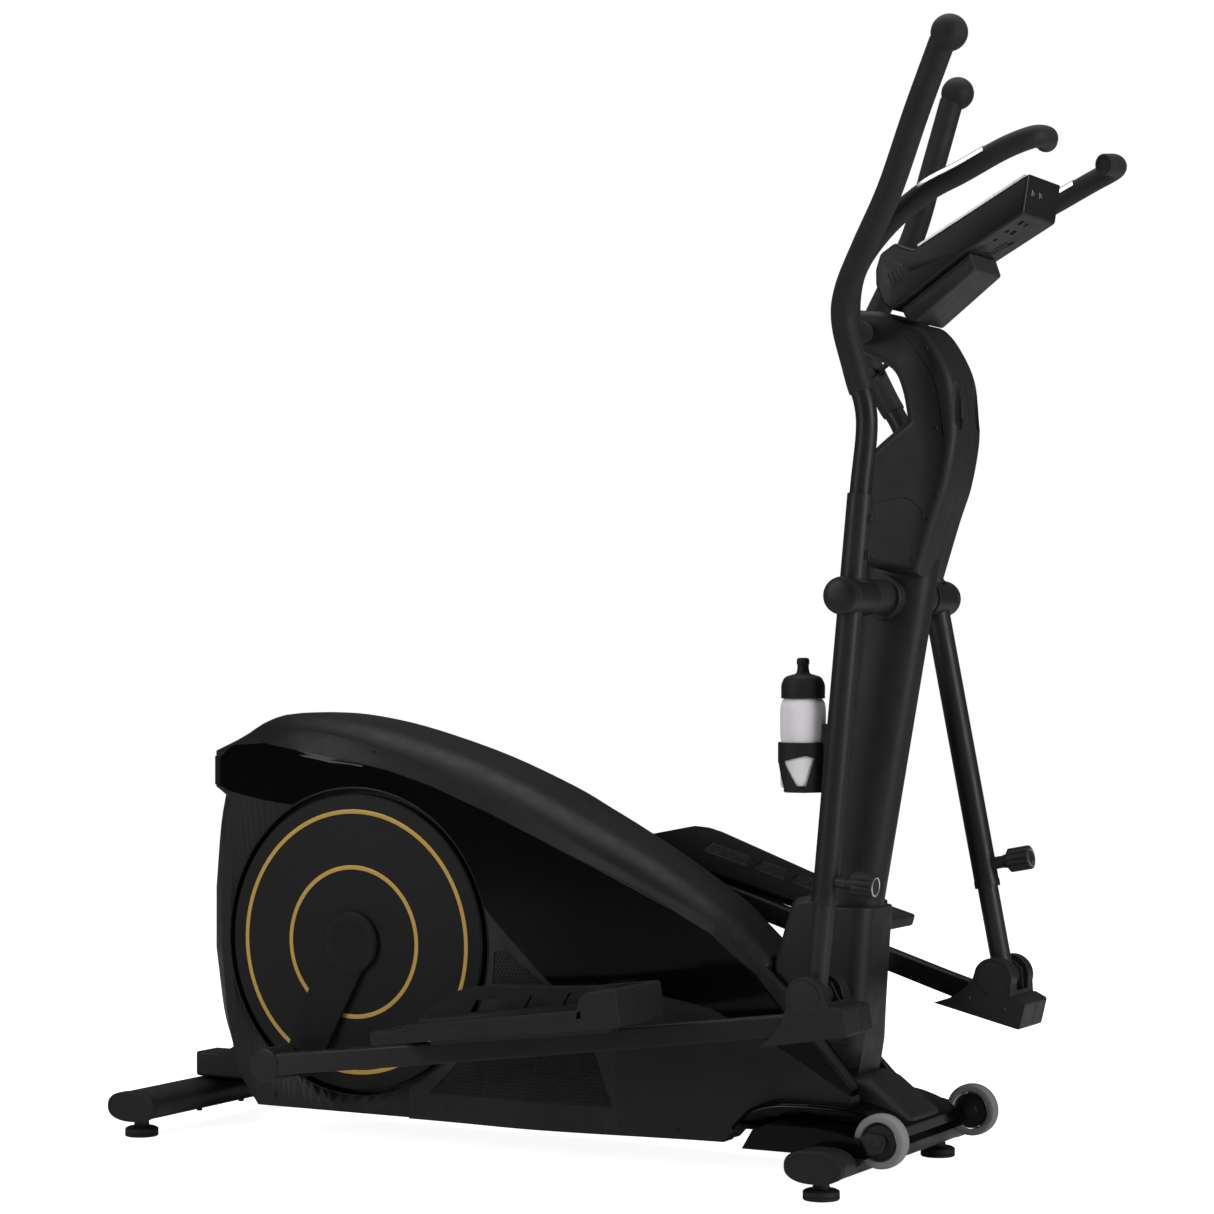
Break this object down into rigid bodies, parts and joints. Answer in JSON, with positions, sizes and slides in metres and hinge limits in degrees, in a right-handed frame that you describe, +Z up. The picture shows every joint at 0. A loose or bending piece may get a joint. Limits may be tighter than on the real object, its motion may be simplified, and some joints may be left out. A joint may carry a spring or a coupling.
{
  "type": "elliptical trainer",
  "caption": "Elliptical cross trainer with a rear crank housing, a front mast, swinging handles linked to footplates, fixed handlebar, console and bottle.",
  "frame": {"origin": "on the floor, under the middle of the machine's bounding box", "axes": "+X forward, towards the console; +Y to the left of a person standing on it; +Z up"},
  "size_m": [1.5972, 0.682, 1.7061],
  "materials": {
    "belt_rubber": "ribbed belt",
    "black_paint": "black powder coat, semi-matt",
    "black_rubber": "matt black rubber",
    "bottle_plastic": "soft translucent white",
    "bright_steel": "ground steel",
    "cast_iron": "bare casting",
    "console_plastic": "smooth dark plastic",
    "foam_grip": "closed-cell foam sleeve",
    "gloss_shell": "polished black moulded plastic",
    "grey_tyre": "grey soft rim",
    "matte_shell": "black moulded plastic with a fine grain"
  },
  "bodies": {
    "frame": {"base_beam": "black_paint", "rear_stabilizer": "black_paint", "front_stabilizer": "black_paint", "right_rear_end_cap": "black_rubber", "right_front_end_cap": "black_rubber", "left_rear_end_cap": "black_rubber", "left_front_end_cap": "black_rubber", "rear_saddle_cover": "matte_shell", "crank_pedestal": "black_paint", "right_crank_bearing": "bright_steel", "left_crank_bearing": "bright_steel", "flywheel_axle": "bright_steel", "flywheel_fork": "black_paint", "drive_belt": "belt_rubber", "right_shell": "gloss_shell", "left_shell": "gloss_shell", "mast": "black_paint", "pivot_shaft": "bright_steel", "mast_lower_cover": "matte_shell", "right_upper_cover": "matte_shell", "left_upper_cover": "matte_shell", "front_base_cover": "gloss_shell", "fixed_handlebar": "foam_grip", "console": "console_plastic", "console_bracket": "matte_shell", "bottle_cage": "black_rubber"},
    "crank": {"crankshaft": "bright_steel", "drive_pulley": "matte_shell", "right_side_disc": "matte_shell", "left_side_disc": "matte_shell", "right_crank": "black_paint", "left_crank": "black_paint"},
    "flywheel_body": {"flywheel": "cast_iron"},
    "brake_body": {"magnet_brake": "cast_iron"},
    "right_swing": {"right_swing_arm": "black_paint", "right_handle_tube": "black_paint", "right_grip": "foam_grip"},
    "right_link": {"right_inner_tube": "black_paint"},
    "right_knob": {"right_adjust_knob": "black_rubber"},
    "right_pedal": {"right_pedal_bar": "black_paint", "right_inner_clevis_cover": "matte_shell", "right_outer_clevis_cover": "matte_shell", "right_footplate": "black_rubber"},
    "right_wheel": {"right_transport_wheel": "grey_tyre"},
    "left_swing": {"left_swing_arm": "black_paint", "left_handle_tube": "black_paint", "left_grip": "foam_grip"},
    "left_link": {"left_inner_tube": "black_paint"},
    "left_knob": {"left_adjust_knob": "black_rubber"},
    "left_pedal": {"left_pedal_bar": "black_paint", "left_inner_clevis_cover": "matte_shell", "left_outer_clevis_cover": "matte_shell", "left_footplate": "black_rubber"},
    "left_wheel": {"left_transport_wheel": "grey_tyre"},
    "right_rear_foot": {"right_rear_foot": "black_rubber"},
    "right_front_foot": {"right_front_foot": "black_rubber"},
    "left_rear_foot": {"left_rear_foot": "black_rubber"},
    "left_front_foot": {"left_front_foot": "black_rubber"},
    "bottle": {"water_bottle": "bottle_plastic", "bottle_cap": "black_rubber"}
  },
  "joints": [
    {"name": "crank_spin", "type": "hinge", "parent": "frame", "child": "crank", "pos_m": [-0.3975, 0, 0.3243], "axis": [0, 1, 0], "continuous": true},
    {"name": "flywheel_spin", "type": "hinge", "parent": "frame", "child": "flywheel_body", "pos_m": [0.0025, 0, 0.272], "axis": [0, 1, 0], "continuous": true},
    {"name": "brake_swing", "type": "hinge", "parent": "frame", "child": "brake_body", "pos_m": [-0.12134, 0, 0.3435], "axis": [0, -1, 0], "range_deg": [0, 5]},
    {"name": "right_swing", "type": "hinge", "parent": "frame", "child": "right_swing", "pos_m": [0.4859, -0.158, 0.872], "axis": [0, -1, 0], "range_deg": [-10.5, 27]},
    {"name": "right_length_adjust", "type": "slide", "parent": "right_swing", "child": "right_link", "axis": [-0.0962, 0, -0.9954], "range_m": [-0.06, 0]},
    {"name": "right_knob_pull", "type": "slide", "parent": "right_swing", "child": "right_knob", "axis": [0.9954, 0, -0.0962], "range_m": [0, 0.008], "stiffness_N_per_m": 900, "springref_m": -0.002},
    {"name": "right_pedal_pivot", "type": "hinge", "parent": "right_link", "child": "right_pedal", "pos_m": [0.42926, -0.158, 0.28573], "axis": [0, -1, 0], "range_deg": [-27, 10.5]},
    {"name": "right_wheel_roll", "type": "hinge", "parent": "frame", "child": "right_wheel", "pos_m": [0.5405, -0.175, 0.0835], "axis": [0, 1, 0], "continuous": true},
    {"name": "left_swing", "type": "hinge", "parent": "frame", "child": "left_swing", "pos_m": [0.4859, 0.158, 0.872], "axis": [0, -1, 0], "range_deg": [-27, 10.5]},
    {"name": "left_length_adjust", "type": "slide", "parent": "left_swing", "child": "left_link", "axis": [0.1923, 0, -0.9813], "range_m": [-0.06, 0]},
    {"name": "left_knob_pull", "type": "slide", "parent": "left_swing", "child": "left_knob", "axis": [0.9813, 0, 0.1923], "range_m": [0, 0.008], "stiffness_N_per_m": 900, "springref_m": -0.002},
    {"name": "left_pedal_pivot", "type": "hinge", "parent": "left_link", "child": "left_pedal", "pos_m": [0.59916, 0.158, 0.29399], "axis": [0, -1, 0], "range_deg": [-10.5, 27]},
    {"name": "left_wheel_roll", "type": "hinge", "parent": "frame", "child": "left_wheel", "pos_m": [0.5405, 0.175, 0.0835], "axis": [0, 1, 0], "continuous": true},
    {"name": "right_rear_foot_screw", "type": "slide", "parent": "frame", "child": "right_rear_foot", "axis": [0, 0, -1], "range_m": [0, 0.01]},
    {"name": "right_front_foot_screw", "type": "slide", "parent": "frame", "child": "right_front_foot", "axis": [0, 0, -1], "range_m": [0, 0.01]},
    {"name": "left_rear_foot_screw", "type": "slide", "parent": "frame", "child": "left_rear_foot", "axis": [0, 0, -1], "range_m": [0, 0.01]},
    {"name": "left_front_foot_screw", "type": "slide", "parent": "frame", "child": "left_front_foot", "axis": [0, 0, -1], "range_m": [0, 0.01]},
    {"name": "bottle_lift", "type": "slide", "parent": "frame", "child": "bottle", "axis": [0, 0, 1], "range_m": [0, 0.1]}
  ],
  "couplings": [
    {"joint": "flywheel_spin", "follows": "crank_spin", "ratio": 7.25},
    {"joint": "left_swing", "follows": "right_swing", "ratio": -1},
    {"joint": "right_pedal_pivot", "follows": "right_swing", "ratio": -1},
    {"joint": "left_pedal_pivot", "follows": "right_swing", "ratio": 1}
  ]
}
